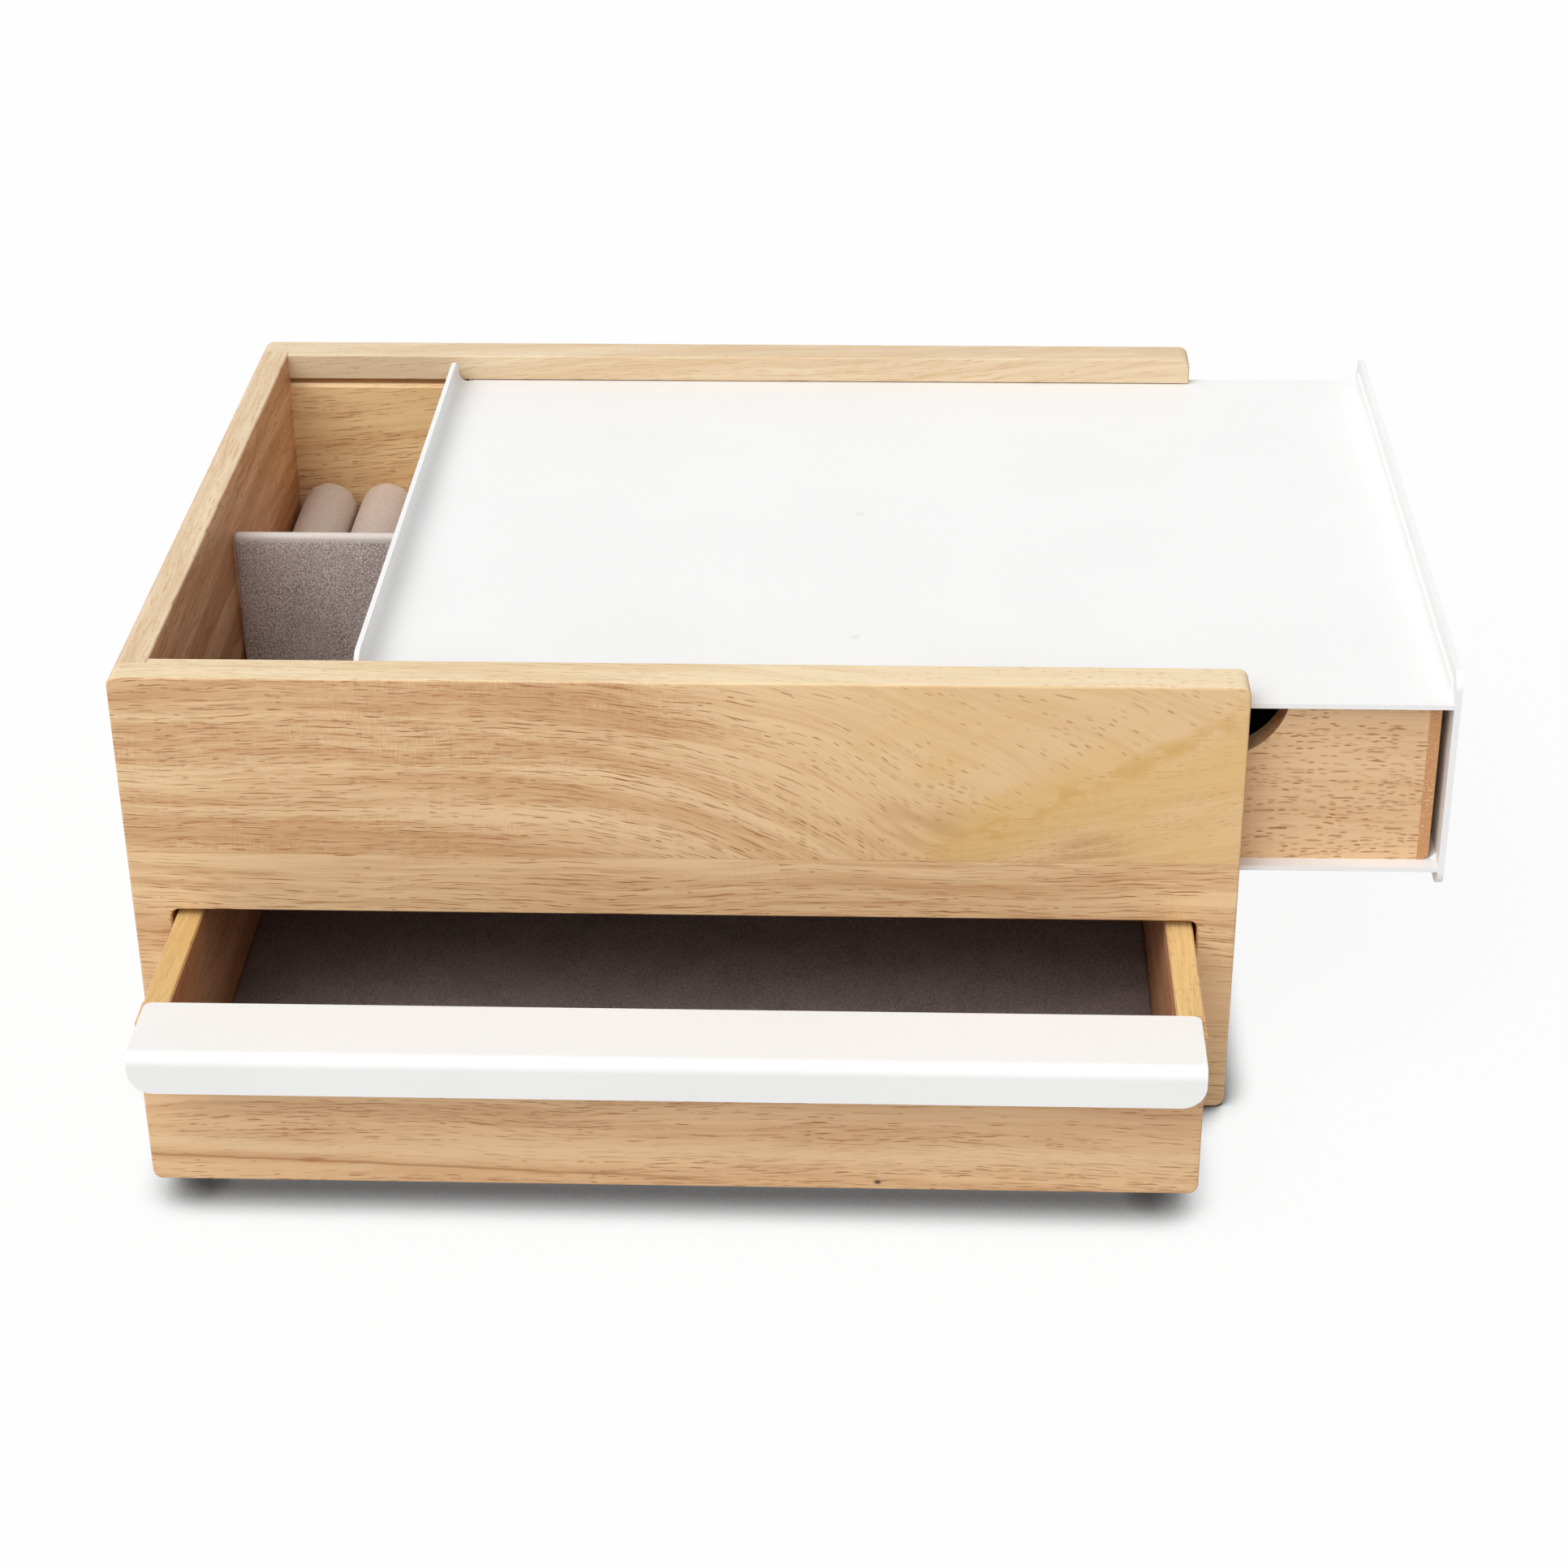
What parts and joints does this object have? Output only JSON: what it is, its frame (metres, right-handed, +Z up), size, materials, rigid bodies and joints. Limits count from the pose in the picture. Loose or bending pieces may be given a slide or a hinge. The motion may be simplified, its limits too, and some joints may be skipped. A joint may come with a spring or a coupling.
{
  "type": "wooden jewellery box",
  "caption": "Wooden jewellery box with a sliding white metal lid that carries a hidden tray, a velvet-lined top compartment with ring rolls, and a front drawer with a folded metal pull.",
  "frame": {"origin": "middle of the case's footprint, on the surface that it stands on", "axes": "+Z up; +X to the right, the way the lid opens; -Y to the front, the way the drawer opens"},
  "size_m": [0.3082, 0.268, 0.114],
  "materials": {
    "oiled_wood": "pale rubberwood, satin clear finish",
    "plywood": "birch plywood, plain",
    "velvet": "taupe velvet, short pile",
    "felt": "dark taupe felt, flat",
    "white_powder_coat": "white satin powder coat"
  },
  "bodies": {
    "case": {"front_panel": "oiled_wood", "back_panel": "oiled_wood", "left_wall": "oiled_wood", "right_wall": "oiled_wood", "compartment_floor": "plywood", "base_panel": "plywood", "compartment_liner": "felt", "partition": "velvet", "divider": "velvet", "ring_roll_1": "velvet", "ring_roll_2": "velvet", "ring_roll_3": "velvet", "ring_roll_4": "velvet", "ring_roll_5": "velvet", "ring_roll_6": "velvet", "ring_roll_7": "velvet", "ring_roll_8": "velvet"},
    "lid": {"lid_plate": "white_powder_coat", "end_plate": "white_powder_coat", "tray_carrier": "white_powder_coat", "tray_left_side": "oiled_wood", "tray_right_side": "oiled_wood", "tray_front": "oiled_wood", "tray_back": "oiled_wood", "tray_bottom": "plywood", "tray_liner": "felt"},
    "drawer": {"drawer_front": "oiled_wood", "drawer_left_side": "oiled_wood", "drawer_right_side": "oiled_wood", "drawer_back": "oiled_wood", "drawer_bottom_panel": "plywood", "drawer_liner": "felt", "drawer_handle": "white_powder_coat"}
  },
  "joints": [
    {"name": "lid_slide", "type": "slide", "parent": "case", "child": "lid", "axis": [1, 0, 0], "range_m": [-0.0465, 0.06]},
    {"name": "drawer_slide", "type": "slide", "parent": "case", "child": "drawer", "axis": [0, -1, 0], "range_m": [-0.0465, 0.095]}
  ]
}
